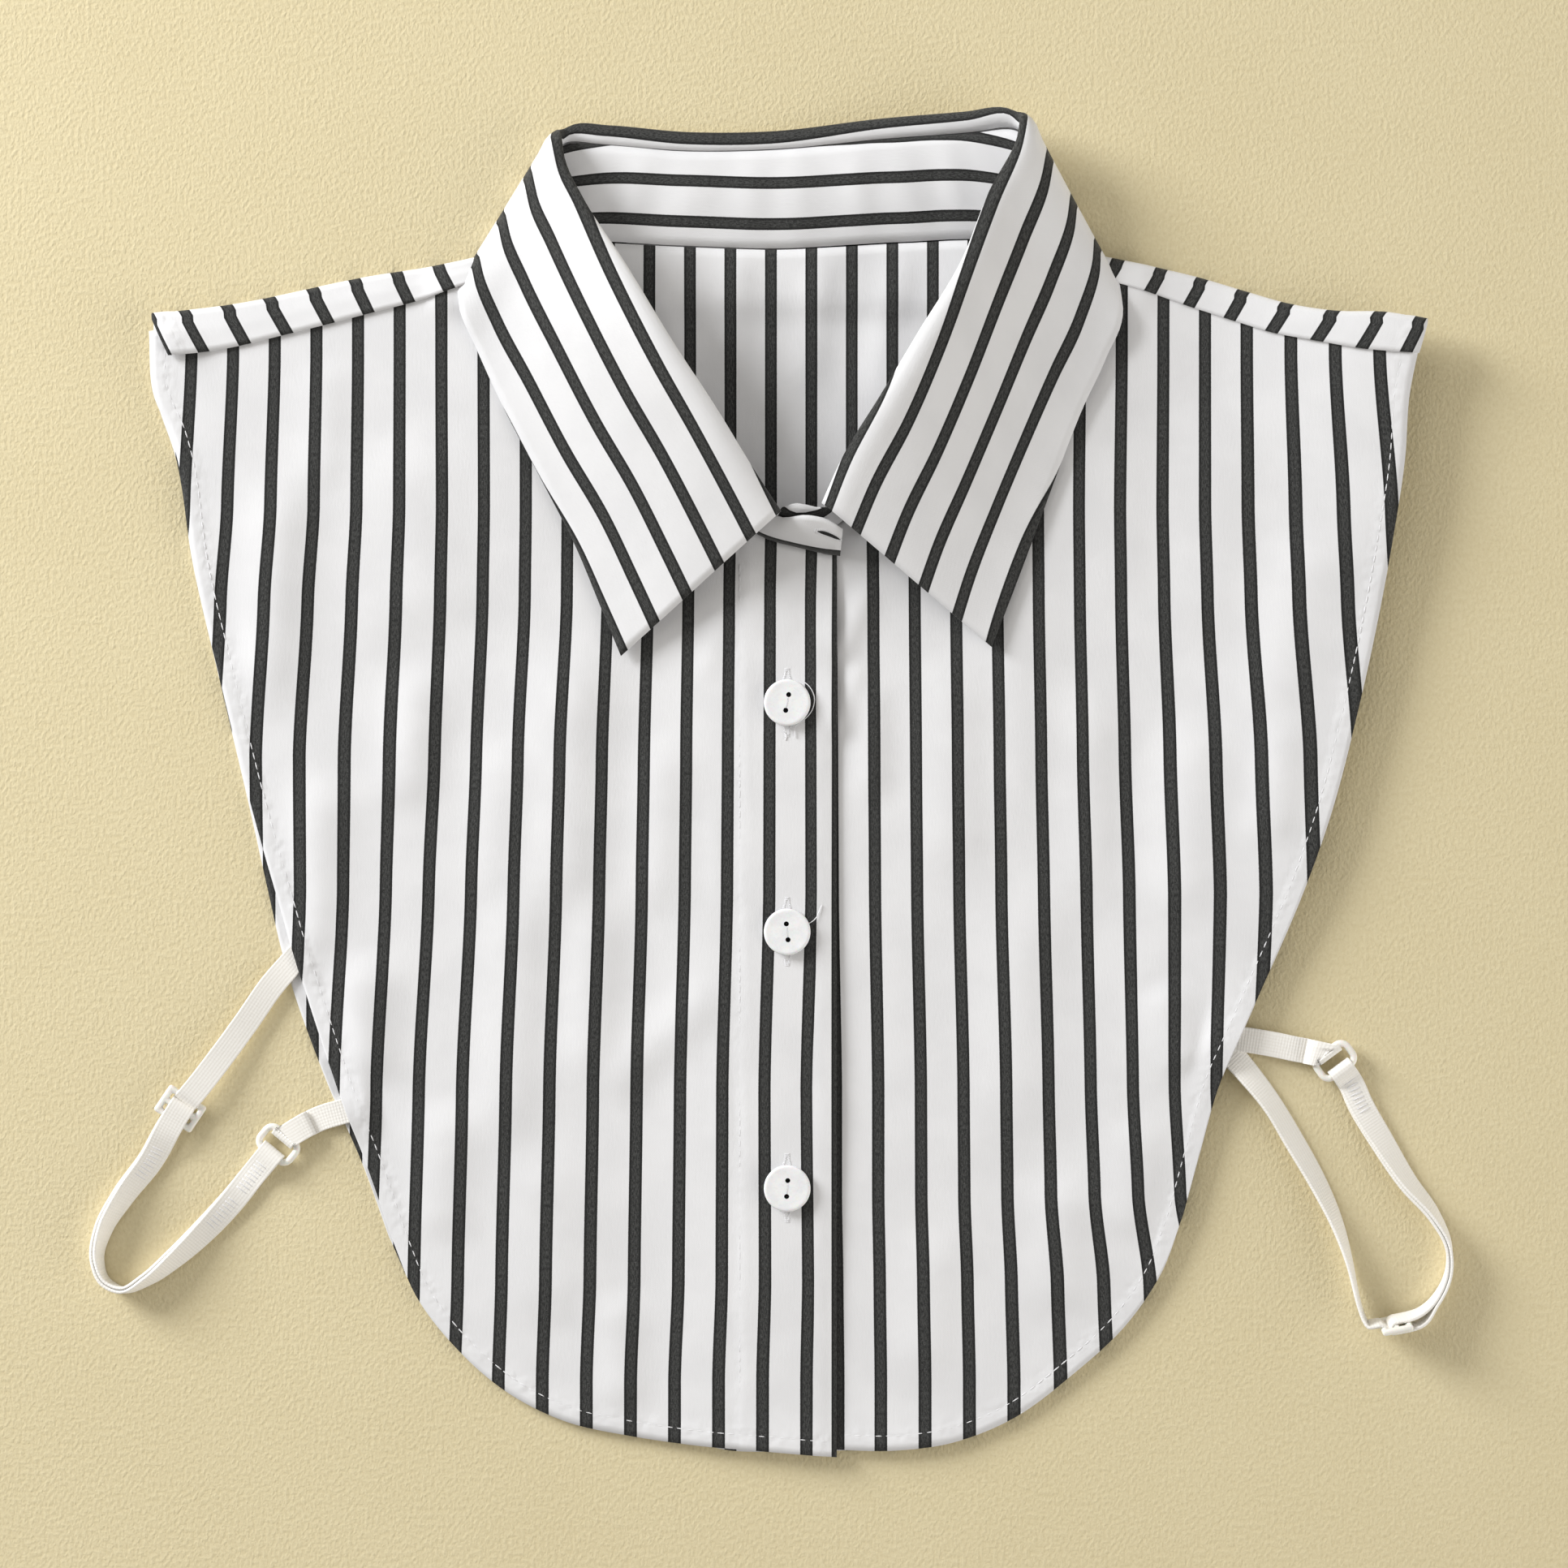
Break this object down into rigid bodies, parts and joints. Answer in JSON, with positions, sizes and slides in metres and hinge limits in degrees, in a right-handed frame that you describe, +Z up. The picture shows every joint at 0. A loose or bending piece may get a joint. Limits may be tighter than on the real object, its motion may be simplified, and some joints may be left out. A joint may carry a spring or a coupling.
{
  "type": "detachable shirt collar",
  "caption": "Detachable shirt collar with half front and back panels, buttoned placket, turned-down points and elastic side straps, laid flat on its back.",
  "frame": {"origin": "middle of the outline, on the surface the garment lies on", "axes": "+Z up from the surface, +Y from the hem to the back of the neck, +X to the right for a viewer above"},
  "size_m": [0.3864, 0.3801, 0.0262],
  "materials": {
    "cotton_striped": "woven cotton, white with narrow dark grey stripes",
    "button_plastic": "glossy white",
    "elastic_white": "flat ribbed elastic",
    "hardware_plastic": "smooth off-white"
  },
  "bodies": {
    "root": {"back_panel": "cotton_striped", "front_left": "cotton_striped", "front_right": "cotton_striped", "collar_stand": "cotton_striped", "collar_fall": "cotton_striped", "button_1": "button_plastic", "button_2": "button_plastic", "button_3": "button_plastic", "strap_left": "elastic_white", "strap_right": "elastic_white", "strap_tab_left": "elastic_white", "strap_tab_right": "elastic_white", "ring_left": "hardware_plastic", "ring_right": "hardware_plastic", "slider_left": "hardware_plastic", "slider_right": "hardware_plastic"}
  },
  "joints": []
}
